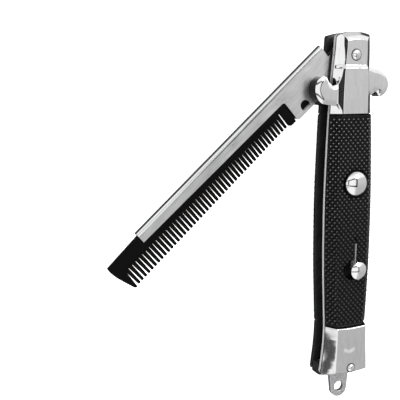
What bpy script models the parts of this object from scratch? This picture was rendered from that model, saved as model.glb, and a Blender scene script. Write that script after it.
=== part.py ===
# Folding pocket comb in a stiletto-style handle, lying on its back with the comb swung part way out
import math

import bmesh
import bpy
import numpy as np

# Frame: X across the handle, Y along it towards the pivot end, Z up out of the front face.
# The world origin is the middle of the back face of the top bolster, on the surface it rests on.
# Every y below is counted from the comb's pivot, and every z from the middle plane of the handle.
PIVOT_Y = 0.0120
MID_Z = 0.0073
COMB_SWING = math.radians(48.8)          # comb's angle out of the handle, from closed

# Layers of one half, as heights above the middle plane
CAVITY_HALF = 0.0023
LINER_TOP = 0.0034
SEAT_GAP = 0.0003
COVER_BASE = LINER_TOP + SEAT_GAP
END_FALL = 0.0001                        # the covers' end edges sit this much lower than their sides
SIDE_TOP = 0.0040                        # where the side wall ends and the bevel starts
UPPER_FLAT_Z = 0.0069                    # front flat of the bolster's pivot block
FLAT_Z = 0.0073                          # front flat of everything else

# Half width of the handle as y and half width, station by station down from the pivot
WIDTH_TABLE = (
    (0.0080, 0.0065), (0.0000, 0.0069), (-0.0100, 0.0075), (-0.0200, 0.0081),
    (-0.0350, 0.0087), (-0.0500, 0.0091), (-0.0620, 0.0091), (-0.0750, 0.0089),
    (-0.0880, 0.0084), (-0.0970, 0.0081), (-0.1040, 0.0085), (-0.1090, 0.0091),
    (-0.1150, 0.0099),
)
TOP_CORNER_Y, TOP_BULGE = 0.0066, 0.0013      # round end at the pivot
TAIL_CORNER_Y, TAIL_BULGE = -0.1137, 0.0010   # round end at the tail
LINER_SHORT = 0.0006                          # the liners end this much inside the covers' ends
CORNER_R = 0.0010                             # rounding of the four corners seen from the front
SIDE_LEAN = 0.00015                           # the handle is this much fuller on its closed side
TOP_LEAN = 0.0004                             # and its pivot end leans this much further
LEAN_FROM, LEAN_TO = -0.0080, 0.0040
TOP_BOLSTER_END, SCALE_TOP = -0.0197, -0.0200
SCALE_END, TAIL_BOLSTER_TOP = -0.0952, -0.0956
JOINT_BOW = 0.0005                            # bow of the joint line above the tail bolster

# Pins
PIN_R, PIN_HOLE_R = 0.0015, 0.0018
PIN_HEAD_R, PIN_HEAD_RISE = 0.0018, 0.0005
TAIL_PIN = (0.0010, -0.1112)
TAIL_PIN_R, TAIL_HOLE_R = 0.0009, 0.0012
BACK_RECESS = 0.0001                          # the pins end this far inside the back face

# Push button and safety slide
BUTTON_X, BUTTON_Y = 0.0010, -0.0438
BUTTON_R, BUTTON_TOP, BUTTON_RIM_Z = 0.0041, 0.0103, 0.0072
BUTTON_STEM_R, BUTTON_STEM_END = 0.0021, 0.0031
BUTTON_WELL_R, BUTTON_WELL_Z = 0.0046, 0.0058
SAFETY_X, SAFETY_Y = 0.0016, -0.0746
SAFETY_R, SAFETY_TOP, SAFETY_RIM_Z = 0.0031, 0.0101, 0.0088
SAFETY_NECK_R = 0.0016
SAFETY_KEY = (0.0010, 0.0028)                 # width and length of the key in the slot
SAFETY_TRAVEL = 0.0090
SLOT_PLAY = 0.0003

# Guard ears, outlines of the front half as x and y
EAR_FLOOR, EAR_TOP = CAVITY_HALF, 0.0056
EAR_ROUND = 0.0010
LEFT_EAR = (
    (-0.0050, -0.0100), (-0.0078, -0.0103), (-0.0092, -0.0096), (-0.0104, -0.0080),
    (-0.0116, -0.0072), (-0.0132, -0.0080), (-0.0141, -0.0097), (-0.0143, -0.0117),
    (-0.0138, -0.0138), (-0.0127, -0.0154), (-0.0110, -0.0164), (-0.0082, -0.0168),
    (-0.0050, -0.0166),
)
RIGHT_EAR = (
    (0.0050, -0.0046), (0.0087, -0.0046), (0.0113, -0.0053), (0.0134, -0.0068),
    (0.0147, -0.0090), (0.0147, -0.0111), (0.0135, -0.0129), (0.0116, -0.0140),
    (0.0105, -0.0136), (0.0098, -0.0126), (0.0086, -0.0124), (0.0076, -0.0133),
    (0.0050, -0.0138),
)

# Spacer along the closed side of the handle
SPACER_HALF = CAVITY_HALF - SEAT_GAP
SPACER_INNER_X, SPACER_INSET = 0.0062, 0.0004
SPACER_TOP, SPACER_END = -0.0115, -0.1080

# Tail block with its bail
BLOCK_LEFT_Y, BLOCK_RIGHT_Y = -0.1101, -0.1089
BLOCK_PROUD = 0.0007                          # its corners stand out of the covers' ends by this
BAIL_X, BAIL_Y, BAIL_R, BAIL_HOLE_R = 0.0003, -0.1208, 0.0034, 0.00185
BAIL_END_Y = -0.1214                          # centre of the eye's round end
BAIL_HALF, BAIL_NECK = 0.0008, 0.0041

# Comb, measured closed: x across towards the teeth, y along, tip at the lowest y
SHEET = 0.0004
CHANNEL_HALF = 0.0013
FOLD_GAP = 0.0002                             # play between the moulding and the sheet
CHANNEL_BACK, CHANNEL_LIP, CHANNEL_TIP_Y = -0.0089, -0.0042, -0.0948
CHANNEL_TAPER = 0.0007                        # the back edge draws in this much towards the tip
FOLD_ROUND = 0.0011
TANG_END_Y, TANG_SHOULDER_X = -0.0060, -0.0046
TANG_WIDE_Y, TANG_LIP, TANG_CORNER_R = -0.0285, 0.0041, 0.0010
EYE_R = 0.0050
STOP_HOLE = {"flat_x": 0.0030, "apex_x": 0.0002, "y_low": -0.0250, "y_high": -0.0213}
INSERT_HALF = CHANNEL_HALF - SHEET - FOLD_GAP
INSERT_STEP_X = -0.0070                       # back edge of the moulding where it leaves the channel
NOSE = ((-0.0062, -0.1089), (-0.0045, -0.1091), (-0.0020, -0.1088), (0.0015, -0.1079),
        (0.0047, -0.1070), (0.0053, -0.1065), (0.0051, -0.1059))
TOOTH_COUNT = 47
FIRST_TOOTH_Y, LAST_TOOTH_Y = -0.1047, -0.0331
GAP_TOP_X = (-0.0013, -0.0022)                # at the first and the last tooth
TOOTH_TIP_X = (0.00525, 0.00340)
TOOTH_ROOT_W, TOOTH_TIP_W = 0.00110, 0.00070
FIRST_GAP = 0.00022                           # root of the gap between the nose and the first tooth
GUARD_TOOTH = {"y_low": -0.0319, "y_high": -0.0289, "tip_x": 0.0040, "root_x": -0.0022}

ROUND_SIDES = 32
THROUGH = 0.02                                # cutters reach this far past what they cut


def clear_scene():
    for obj in list(bpy.data.objects):
        bpy.data.objects.remove(obj, do_unlink=True)


def new_collection(name):
    collection = bpy.data.collections.new(name)
    bpy.context.scene.collection.children.link(collection)
    return collection


def new_material(name, color, roughness, metallic):
    material = bpy.data.materials.new(name)
    material.use_nodes = True
    shader = material.node_tree.nodes["Principled BSDF"]
    shader.inputs["Base Color"].default_value = (*color, 1.0)
    shader.inputs["Roughness"].default_value = roughness
    shader.inputs["Metallic"].default_value = metallic
    return material


def half_width(y):
    # Smooth curve through the table: a cubic between stations, with slopes from their neighbours
    ys = np.array([row[0] for row in WIDTH_TABLE])[::-1]
    ws = np.array([row[1] for row in WIDTH_TABLE])[::-1]
    slopes = np.gradient(ws, ys)
    i = int(np.clip(np.searchsorted(ys, y) - 1, 0, len(ys) - 2))
    step = ys[i + 1] - ys[i]
    t = (y - ys[i]) / step
    return float(
        (2 * t**3 - 3 * t**2 + 1) * ws[i] + (t**3 - 2 * t**2 + t) * step * slopes[i]
        + (3 * t**2 - 2 * t**3) * ws[i + 1] + (t**3 - t**2) * step * slopes[i + 1]
    )


def round_points(cx, cy, radius, start, stop, count):
    # Points on an arc, from one angle in degrees to another
    angles = [math.radians(start + (stop - start) * i / (count - 1)) for i in range(count)]
    return [(cx + radius * math.cos(a), cy + radius * math.sin(a)) for a in angles]


def circle_points(cx, cy, radius):
    return round_points(cx, cy, radius, 0, 360, ROUND_SIDES + 1)[:-1]


def side_stations(y_from, y_to, spacing=0.0055):
    count = max(2, int(round(abs(y_to - y_from) / spacing)) + 1)
    return [y_from + (y_to - y_from) * i / (count - 1) for i in range(count)]


def lean(y):
    # Sideways shift of the handle's middle line, eased in over the pivot end
    t = min(max((y - LEAN_FROM) / (LEAN_TO - LEAN_FROM), 0.0), 1.0)
    return SIDE_LEAN + TOP_LEAN * t * t * (3 - 2 * t)


def end_drop(x, w, bulge):
    # How far the end falls away from its middle: a shallow arc, and a rounded corner at each side
    over = min(max(abs(x) - (w - CORNER_R), 0.0), CORNER_R)
    corner = CORNER_R - math.sqrt(CORNER_R ** 2 - over ** 2)
    return bulge * (x / w) ** 2 + math.copysign(corner, bulge)


def end_arc(corner_y, bulge, inset=0.0):
    # Convex end of the handle from its right corner to its left one
    w = half_width(corner_y) - inset
    inner = w - CORNER_R
    half = [inner * k / 3 for k in range(4)]
    half += [inner + CORNER_R * math.sin(math.radians(a)) for a in (35, 65, 90)]
    xs = half[::-1] + [-x for x in half[1:]]
    return [(x + lean(corner_y), corner_y + bulge - end_drop(x, w, bulge)) for x in xs]


def handle_outline(inset=0.0):
    top = end_arc(TOP_CORNER_Y, TOP_BULGE, inset)
    stations = side_stations(TOP_CORNER_Y, TAIL_CORNER_Y)[1:-1]
    left = [(lean(y) - half_width(y) + inset, y) for y in stations]
    tail = end_arc(TAIL_CORNER_Y + LINER_SHORT, -TAIL_BULGE, inset)[::-1]
    right = [(lean(y) + half_width(y) - inset, y) for y in stations[::-1]]
    return top + left + tail + right


def link_mesh(name, mesh, material, parent, collection):
    obj = bpy.data.objects.new(name, mesh)
    obj.parent = parent
    if material is not None:
        mesh.materials.clear()
        mesh.materials.append(material)
    collection.objects.link(obj)
    return obj


def plate(name, outlines, z_low, z_high, material, parent, collection):
    # Flat 2D outlines, the later ones being holes, filled and given a thickness
    curve = bpy.data.curves.new(name + "_outline", "CURVE")
    curve.dimensions = "2D"
    curve.fill_mode = "BOTH"
    curve.extrude = (z_high - z_low) / 2
    for outline in outlines:
        spline = curve.splines.new("POLY")
        spline.points.add(len(outline) - 1)
        for point, (x, y) in zip(spline.points, outline):
            point.co = (x, y, 0.0, 1.0)
        spline.use_cyclic_u = True
    guide = bpy.data.objects.new(name + "_guide", curve)
    collection.objects.link(guide)
    depsgraph = bpy.context.evaluated_depsgraph_get()
    mesh = bpy.data.meshes.new_from_object(guide.evaluated_get(depsgraph))
    mesh.name = name
    bpy.data.objects.remove(guide, do_unlink=True)
    work = bmesh.new()
    work.from_mesh(mesh)
    bmesh.ops.remove_doubles(work, verts=work.verts, dist=1e-6)
    bmesh.ops.translate(work, verts=work.verts, vec=(0, 0, (z_high + z_low) / 2))
    if len(outlines) == 1:
        bmesh.ops.dissolve_limit(work, angle_limit=0.001, verts=work.verts, edges=work.edges)
    bmesh.ops.recalc_face_normals(work, faces=work.faces)
    work.to_mesh(mesh)
    work.free()
    return link_mesh(name, mesh, material, parent, collection)


def slab(name, rows, material, parent, collection):
    # Loft down the handle: each row lists x, y and z across it, over a flat base at COVER_BASE
    top = np.array(rows)
    count, across = top.shape[:2]
    base = top.copy()
    base[:, :, 2] = COVER_BASE
    points = np.concatenate([top.reshape(-1, 3), base.reshape(-1, 3)])
    grid = np.arange(count * across).reshape(count, across)
    low = grid + count * across
    faces = []
    for i in range(count - 1):
        for j in range(across - 1):
            faces.append((grid[i, j], grid[i + 1, j], grid[i + 1, j + 1], grid[i, j + 1]))
            faces.append((low[i, j], low[i, j + 1], low[i + 1, j + 1], low[i + 1, j]))
        faces.append((grid[i, 0], low[i, 0], low[i + 1, 0], grid[i + 1, 0]))
        faces.append((grid[i, -1], grid[i + 1, -1], low[i + 1, -1], low[i, -1]))
    for j in range(across - 1):
        faces.append((grid[0, j], grid[0, j + 1], low[0, j + 1], low[0, j]))
        faces.append((grid[-1, j], low[-1, j], low[-1, j + 1], grid[-1, j + 1]))
    mesh = bpy.data.meshes.new(name)
    mesh.from_pydata([tuple(p) for p in points], [], [tuple(int(v) for v in f) for f in faces])
    work = bmesh.new()
    work.from_mesh(mesh)
    bmesh.ops.recalc_face_normals(work, faces=work.faces)
    work.to_mesh(mesh)
    work.free()
    return link_mesh(name, mesh, material, parent, collection)


def turned(name, profile, x, y, material, parent, collection):
    # Profile of radius and height, top to bottom on its outer side, turned about Z
    mesh = bpy.data.meshes.new(name)
    edges = [(i, i + 1) for i in range(len(profile) - 1)]
    mesh.from_pydata([(r, 0.0, z) for r, z in profile], edges, [])
    obj = link_mesh(name, mesh, material, parent, collection)
    obj.location = (x, y, 0.0)
    screw = obj.modifiers.new("turn", "SCREW")
    screw.axis = "Z"
    screw.steps = screw.render_steps = ROUND_SIDES
    screw.use_merge_vertices = True
    screw.merge_threshold = 0.00001
    return obj


def dome(radius, rim_z, top_z, count=6):
    # Quarter ellipse from the crown out to the rim
    angles = [math.radians(90 - 90 * i / count) for i in range(count + 1)]
    rise = top_z - rim_z
    points = [(radius * math.cos(a), rim_z + rise * math.sin(a)) for a in angles]
    return [(0.0, top_z)] + points[1:]


def cutter_cylinder(name, x, y, radius, z_low, z_high, parent, collection):
    mesh = bpy.data.meshes.new(name)
    work = bmesh.new()
    bmesh.ops.create_cone(
        work, cap_ends=True, segments=ROUND_SIDES, radius1=radius, radius2=radius,
        depth=z_high - z_low,
    )
    work.to_mesh(mesh)
    work.free()
    obj = link_mesh(name, mesh, None, parent, collection)
    obj.location = (x, y, (z_high + z_low) / 2)
    return as_cutter(obj)


def cutter_plate(name, outline, z_low, z_high, parent, collection):
    return as_cutter(plate(name, [outline], z_low, z_high, None, parent, collection))


def as_cutter(obj):
    obj.hide_render = True
    obj.display_type = "WIRE"
    return obj


def boolean(obj, other, operation):
    modifier = obj.modifiers.new(operation.lower() + "_" + other.name, "BOOLEAN")
    modifier.operation = operation
    modifier.solver = "EXACT"
    modifier.object = other
    return modifier


def mirrored_half(obj, name, material):
    # The same piece for the back of the handle, turned over through the middle plane
    depsgraph = bpy.context.evaluated_depsgraph_get()
    mesh = bpy.data.meshes.new_from_object(obj.evaluated_get(depsgraph))
    mesh.name = name
    work = bmesh.new()
    work.from_mesh(mesh)
    bmesh.ops.scale(work, vec=(1, 1, -1), verts=work.verts)
    bmesh.ops.recalc_face_normals(work, faces=work.faces)
    work.to_mesh(mesh)
    work.free()
    return link_mesh(name, mesh, material, obj.parent, obj.users_collection[0])


def liners(root, parts, bright, dark):
    outline = handle_outline()
    pivot_hole = circle_points(0.0, 0.0, PIN_HOLE_R)
    tail_hole = circle_points(*TAIL_PIN, TAIL_HOLE_R)
    button_hole = circle_points(BUTTON_X, BUTTON_Y, BUTTON_STEM_R + SEAT_GAP)
    plate("front_liner", [outline, pivot_hole, tail_hole, button_hole],
          CAVITY_HALF, LINER_TOP, bright, root, parts)
    plate("back_liner", [outline, pivot_hole, tail_hole],
          -LINER_TOP, -CAVITY_HALF, dark, root, parts)


def cross_row(y, side, shelf, shelf_z, flat, flat_z, bow=0.0, at_end=False):
    # One row across a cover: side, shelf edge, flat edge and the flat, with a bowed y
    half = half_width(y)
    flats = [flat * k / 3 for k in range(-3, 4)]
    xs = [-half, -shelf] + flats + [shelf, half]
    zs = [side, shelf_z] + [flat_z] * len(flats) + [shelf_z, side]
    drops = [end_drop(x, half, bow) if at_end else bow * (x / half) ** 2 for x in xs]
    shifts = [lean(y) if abs(x) > flat else 0.0 for x in xs]
    return [(x + shift, y + bow - drop, z) for x, shift, drop, z in zip(xs, shifts, drops, zs)]


def top_bolster(root, parts, cutters, chrome):
    # Rows from the rounded end, over the pivot block, down a step to the guard block
    end_z = SIDE_TOP - END_FALL
    end_half = half_width(TOP_CORNER_Y)
    rows = [
        cross_row(TOP_CORNER_Y, end_z, end_half * 0.88, end_z, end_half * 0.70, end_z,
                  TOP_BULGE, True),
        cross_row(0.0046, SIDE_TOP, 0.0062, SIDE_TOP + 0.0003, 0.0036, UPPER_FLAT_Z, 0.0007),
        cross_row(0.0000, SIDE_TOP, 0.0064, SIDE_TOP + 0.0003, 0.0039, UPPER_FLAT_Z),
        cross_row(-0.0036, SIDE_TOP, 0.0066, SIDE_TOP + 0.0003, 0.0041, UPPER_FLAT_Z),
        cross_row(-0.0050, SIDE_TOP, 0.0067, SIDE_TOP + 0.0004, 0.0043, FLAT_Z),
        cross_row(-0.0085, SIDE_TOP, 0.0060, SIDE_TOP + 0.0005, 0.0045, FLAT_Z),
        cross_row(-0.0130, SIDE_TOP, 0.0062, SIDE_TOP + 0.0005, 0.0047, FLAT_Z),
        cross_row(-0.0165, SIDE_TOP, 0.0070, SIDE_TOP + 0.0004, 0.0049, FLAT_Z),
        cross_row(TOP_BOLSTER_END, SIDE_TOP, 0.0077, SIDE_TOP + 0.0002, 0.0052, FLAT_Z),
    ]
    body = slab("front_top_bolster", rows, chrome, root, parts)
    for side, outline in (("left", LEFT_EAR), ("right", RIGHT_EAR)):
        ear = plate("guard_ear_" + side, [outline], EAR_FLOOR, EAR_TOP, None, root, cutters)
        rounding = ear.modifiers.new("pillow", "BEVEL")
        rounding.width = EAR_ROUND
        rounding.segments = 2
        rounding.limit_method = "ANGLE"
        rounding.angle_limit = math.radians(60)
        as_cutter(ear)
        boolean(body, ear, "UNION")
    boolean(body, cutter_plate("liner_clearance", handle_outline(-SEAT_GAP), -COVER_BASE,
                               COVER_BASE, root, cutters), "DIFFERENCE")
    boolean(body, cutter_cylinder("pivot_bore", 0.0, 0.0, PIN_HOLE_R, 0.0, THROUGH, root, cutters),
            "DIFFERENCE")
    mirrored_half(body, "back_top_bolster", chrome)


def tail_bolster(root, parts, cutters, chrome):
    end_z = SIDE_TOP - END_FALL
    end_half = half_width(TAIL_CORNER_Y)
    rows = [
        cross_row(TAIL_BOLSTER_TOP, SIDE_TOP, 0.0074, SIDE_TOP + 0.0004, 0.0052, FLAT_Z,
                  -JOINT_BOW),
        cross_row(-0.1000, SIDE_TOP, 0.0075, SIDE_TOP + 0.0004, 0.0052, FLAT_Z, -JOINT_BOW),
        cross_row(-0.1040, SIDE_TOP, 0.0078, SIDE_TOP + 0.0004, 0.0053, FLAT_Z, -0.0012),
        cross_row(-0.1080, SIDE_TOP, 0.0082, SIDE_TOP + 0.0004, 0.0055, FLAT_Z, -0.0013),
        cross_row(-0.1110, SIDE_TOP, 0.0086, SIDE_TOP + 0.0004, 0.0056, FLAT_Z, -0.0014),
        cross_row(TAIL_CORNER_Y, end_z, end_half * 0.88, end_z, end_half * 0.70, end_z + 0.0010,
                  -TAIL_BULGE, True),
    ]
    body = slab("front_tail_bolster", rows, chrome, root, parts)
    boolean(body, cutter_cylinder("tail_bore", *TAIL_PIN, TAIL_HOLE_R, 0.0, THROUGH, root, cutters),
            "DIFFERENCE")
    mirrored_half(body, "back_tail_bolster", chrome)


def scales(root, parts, cutters, plastic):
    rows = []
    for y in side_stations(SCALE_TOP, SCALE_END):
        fraction = (SCALE_TOP - y) / (SCALE_TOP - SCALE_END)
        half = half_width(y)
        rows.append(cross_row(y, SIDE_TOP, half - 0.0003, SIDE_TOP + 0.0002, half - 0.0029,
                              FLAT_Z, -JOINT_BOW * fraction))
    back = slab("back_scale", rows, plastic, root, parts)
    for vertex in back.data.vertices:
        vertex.co.z = -vertex.co.z
    back.data.flip_normals()
    front = slab("front_scale", rows, plastic, root, parts)
    stem_bore = cutter_cylinder("stem_bore", BUTTON_X, BUTTON_Y, BUTTON_STEM_R + SEAT_GAP,
                                0.0, THROUGH, root, cutters)
    well = cutter_cylinder("button_well", BUTTON_X, BUTTON_Y, BUTTON_WELL_R,
                           BUTTON_WELL_Z, THROUGH, root, cutters)
    slot_half = SAFETY_KEY[0] / 2 + SLOT_PLAY
    slot_low = SAFETY_Y - SAFETY_KEY[1] / 2 - SLOT_PLAY
    slot_high = SAFETY_Y + SAFETY_KEY[1] / 2 + SAFETY_TRAVEL + SLOT_PLAY
    slot = cutter_plate("safety_slot", [
        (SAFETY_X - slot_half, slot_low), (SAFETY_X + slot_half, slot_low),
        (SAFETY_X + slot_half, slot_high), (SAFETY_X - slot_half, slot_high),
    ], 0.0, THROUGH, root, cutters)
    for cutter in (stem_bore, well, slot):
        boolean(front, cutter, "DIFFERENCE")


def pins(root, parts, steel):
    end_z = -FLAT_Z + BACK_RECESS
    head_seat = UPPER_FLAT_Z + SEAT_GAP
    head = dome(PIN_HEAD_R, head_seat + PIN_HEAD_RISE / 2, head_seat + PIN_HEAD_RISE, 3)
    turned("pivot_pin", head + [(PIN_HEAD_R, head_seat), (PIN_R, head_seat),
                                (PIN_R, end_z + 0.0004), (0.0, end_z + 0.0004)],
           0.0, 0.0, steel, root, parts)
    head_seat = FLAT_Z + SEAT_GAP
    head = dome(PIN_HEAD_R, head_seat + PIN_HEAD_RISE / 2, head_seat + PIN_HEAD_RISE, 3)
    turned("tail_pin", head + [(PIN_HEAD_R, head_seat), (TAIL_PIN_R, head_seat),
                               (TAIL_PIN_R, end_z), (0.0, end_z)],
           *TAIL_PIN, steel, root, parts)


def push_button(root, parts, chrome):
    profile = dome(BUTTON_R, BUTTON_RIM_Z + 0.0006, BUTTON_TOP)
    profile += [(BUTTON_R, BUTTON_RIM_Z), (BUTTON_STEM_R, BUTTON_RIM_Z),
                (BUTTON_STEM_R, BUTTON_STEM_END), (0.0, BUTTON_STEM_END)]
    turned("push_button", profile, BUTTON_X, BUTTON_Y, chrome, root, parts)


def safety_slide(root, parts, cutters, chrome):
    seat = FLAT_Z + SEAT_GAP
    profile = dome(SAFETY_R, SAFETY_RIM_Z, SAFETY_TOP)
    profile += [(SAFETY_NECK_R, SAFETY_RIM_Z - 0.0006), (SAFETY_NECK_R, seat), (0.0, seat)]
    knob = turned("safety_slide", profile, SAFETY_X, SAFETY_Y, chrome, root, parts)
    width, length = SAFETY_KEY
    corners = [(-width / 2, -length / 2), (width / 2, -length / 2),
               (width / 2, length / 2), (-width / 2, length / 2)]
    key = plate("slot_key", [corners], COVER_BASE, seat + 0.0005, None, root, cutters)
    key.location = (SAFETY_X, SAFETY_Y, 0.0)
    boolean(knob, as_cutter(key), "UNION")


def back_spacer(root, parts, steel):
    # Wall between the liners on the side that the teeth point to
    ys = side_stations(SPACER_TOP, SPACER_END, 0.006)
    outer = [(SIDE_LEAN + half_width(y) - SPACER_INSET, y) for y in ys]
    inner = [(SPACER_INNER_X, ys[-1]), (SPACER_INNER_X, ys[0])]
    plate("back_spacer", [outer + inner], -SPACER_HALF, SPACER_HALF, steel, root, parts)


def tail_bail(root, parts, cutters, steel):
    # Block between the liners at the tail, and the thinner eye that stands out of it
    arc = end_arc(TAIL_CORNER_Y - BLOCK_PROUD, BLOCK_PROUD - TAIL_BULGE)[::-1]
    outline = [(SIDE_LEAN + half_width(BLOCK_RIGHT_Y), BLOCK_RIGHT_Y),
               (SIDE_LEAN - half_width(BLOCK_LEFT_Y), BLOCK_LEFT_Y)] + arc
    block = plate("tail_bail", [outline], -SPACER_HALF, SPACER_HALF, steel, root, parts)
    eye_arc = round_points(BAIL_X, BAIL_END_Y, BAIL_R, 180, 360, 15)
    tab_top = TAIL_CORNER_Y
    tab = [(BAIL_X + BAIL_NECK, tab_top), (BAIL_X - BAIL_NECK, tab_top),
           (BAIL_X - BAIL_NECK, TAIL_CORNER_Y - TAIL_BULGE)] + eye_arc
    tab += [(BAIL_X + BAIL_NECK, TAIL_CORNER_Y - TAIL_BULGE)]
    eye = plate("bail_eye", [tab], -BAIL_HALF, BAIL_HALF, None, root, cutters)
    boolean(block, as_cutter(eye), "UNION")
    bores = (("bail_hole", BAIL_X, BAIL_Y, BAIL_HOLE_R), ("block_bore", *TAIL_PIN, TAIL_HOLE_R))
    for name, x, y, radius in bores:
        boolean(block, cutter_cylinder(name, x, y, radius, -THROUGH, THROUGH, root, cutters),
                "DIFFERENCE")


def tang_outline():
    # Channel and tang in one outline, with the round eye about the pivot at the origin
    points = [(CHANNEL_LIP, CHANNEL_TIP_Y), (CHANNEL_LIP, TANG_WIDE_Y)]
    corner = (TANG_LIP - TANG_CORNER_R, TANG_WIDE_Y + TANG_CORNER_R)
    points += round_points(*corner, TANG_CORNER_R, -90, 0, 5)
    points += [(TANG_LIP, -0.0080)]
    points += round_points(0.0, 0.0, EYE_R, -25, 205, 24)
    points += [(TANG_SHOULDER_X, TANG_END_Y), (back_x(TANG_END_Y), TANG_END_Y)]
    points += [(back_x(CHANNEL_TIP_Y), CHANNEL_TIP_Y)]
    return points


def back_x(y):
    # Outer back edge of the channel, drawing in from the tang to the tip
    return CHANNEL_BACK + CHANNEL_TAPER * (TANG_END_Y - y) / (TANG_END_Y - CHANNEL_TIP_Y)


def comb_channel(axle, parts, cutters, steel):
    # Sheet folded over the back edge: a solid outline with a slot from the toothed side
    body = plate("comb_channel", [tang_outline()], -CHANNEL_HALF, CHANNEL_HALF, steel, axle, parts)
    weights = body.data.attributes.new("bevel_weight_edge", "FLOAT", "EDGE")
    for edge in body.data.edges:
        ends = [body.data.vertices[i].co for i in edge.vertices]
        along_back = all(abs(v.x - back_x(v.y)) < 1e-5 for v in ends)
        level = abs(ends[0].z - ends[1].z) < 1e-5
        weights.data[edge.index].value = 1.0 if along_back and level else 0.0
    fold = body.modifiers.new("fold", "BEVEL")
    fold.limit_method = "WEIGHT"
    fold.width = FOLD_ROUND
    fold.segments = 3
    hollow = CHANNEL_HALF - SHEET
    far, near = -0.12, 0.02
    room = [(back_x(far) + SHEET, far), (near, far), (near, near), (back_x(near) + SHEET, near)]
    boolean(body, cutter_plate("channel_slot", room, -hollow, hollow, axle, cutters), "DIFFERENCE")
    bore = cutter_cylinder("comb_bore", 0.0, 0.0, PIN_HOLE_R, -THROUGH, THROUGH, axle, cutters)
    boolean(body, bore, "DIFFERENCE")
    middle_y = (STOP_HOLE["y_low"] + STOP_HOLE["y_high"]) / 2
    half = (STOP_HOLE["y_high"] - STOP_HOLE["y_low"]) / 2
    round_x = STOP_HOLE["apex_x"] + half
    d_outline = round_points(round_x, middle_y, half, 90, 270, 13)
    d_outline += [(STOP_HOLE["flat_x"], STOP_HOLE[side]) for side in ("y_low", "y_high")]
    boolean(body, cutter_plate("stop_hole", d_outline, -THROUGH, THROUGH, axle, cutters), "DIFFERENCE")


def comb_teeth(axle, parts, cutters, plastic):
    # Moulded insert: nose, teeth and guard tooth outside the channel, and its root in the tang
    inner = SHEET + SEAT_GAP
    points = [(back_x(TANG_END_Y) + inner, TANG_END_Y - SEAT_GAP),
              (back_x(CHANNEL_TIP_Y) + inner, CHANNEL_TIP_Y + 0.0006), (INSERT_STEP_X, CHANNEL_TIP_Y)]
    points += list(NOSE)
    points += [(GAP_TOP_X[0], FIRST_TOOTH_Y - TOOTH_ROOT_W / 2 - FIRST_GAP)]
    for i in range(TOOTH_COUNT):
        f = i / (TOOTH_COUNT - 1)
        y = FIRST_TOOTH_Y + (LAST_TOOTH_Y - FIRST_TOOTH_Y) * f
        root_x = GAP_TOP_X[0] + (GAP_TOP_X[1] - GAP_TOP_X[0]) * f
        tip_x = TOOTH_TIP_X[0] + (TOOTH_TIP_X[1] - TOOTH_TIP_X[0]) * f
        points += [(root_x, y - TOOTH_ROOT_W / 2), (tip_x, y - TOOTH_TIP_W / 2),
                   (tip_x, y + TOOTH_TIP_W / 2), (root_x, y + TOOTH_ROOT_W / 2)]
    guard = GUARD_TOOTH
    points += [(guard["root_x"], guard["y_low"]), (guard["tip_x"] - 0.0006, guard["y_low"]),
               (guard["tip_x"], guard["y_low"] + 0.0006), (guard["tip_x"], guard["y_high"]),
               (TANG_LIP - 0.0012, guard["y_high"]), (TANG_LIP - 0.0012, -0.0080)]
    eye = EYE_R - 0.0006
    points += round_points(0.0, 0.0, eye, -25, 205, 24)
    points += [(TANG_SHOULDER_X - 0.0003, TANG_END_Y - SEAT_GAP)]
    body = plate("comb_teeth", [points], -INSERT_HALF, INSERT_HALF, plastic, axle, parts)
    bore = cutter_cylinder("insert_bore", 0.0, 0.0, PIN_HOLE_R, -THROUGH, THROUGH, axle, cutters)
    boolean(body, bore, "DIFFERENCE")


def main():
    clear_scene()
    parts = new_collection("folding_comb")
    cutters = new_collection("cutters")
    chrome = new_material("chrome_plate", (0.62, 0.62, 0.63), 0.08, 1.0)
    brushed = new_material("brushed_steel", (0.50, 0.50, 0.51), 0.32, 1.0)
    blackened = new_material("blackened_steel", (0.030, 0.030, 0.032), 0.35, 0.8)
    scale_plastic = new_material("black_scale_plastic", (0.012, 0.012, 0.013), 0.45, 0.0)
    comb_plastic = new_material("black_comb_plastic", (0.018, 0.018, 0.019), 0.38, 0.0)
    root = bpy.data.objects.new("handle_frame", None)
    root.location = (0.0, PIVOT_Y, MID_Z)
    parts.objects.link(root)
    axle = bpy.data.objects.new("comb_axle", None)
    axle.parent = root
    axle.rotation_euler = (0.0, 0.0, -COMB_SWING)
    parts.objects.link(axle)
    bpy.context.view_layer.update()
    liners(root, parts, brushed, blackened)
    top_bolster(root, parts, cutters, chrome)
    tail_bolster(root, parts, cutters, chrome)
    scales(root, parts, cutters, scale_plastic)
    back_spacer(root, parts, blackened)
    tail_bail(root, parts, cutters, chrome)
    pins(root, parts, chrome)
    push_button(root, parts, chrome)
    safety_slide(root, parts, cutters, chrome)
    comb_channel(axle, parts, cutters, brushed)
    comb_teeth(axle, parts, cutters, comb_plastic)


main()
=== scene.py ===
import math

import bmesh
import bpy
import numpy as np
from mathutils import Matrix, Vector


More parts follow.
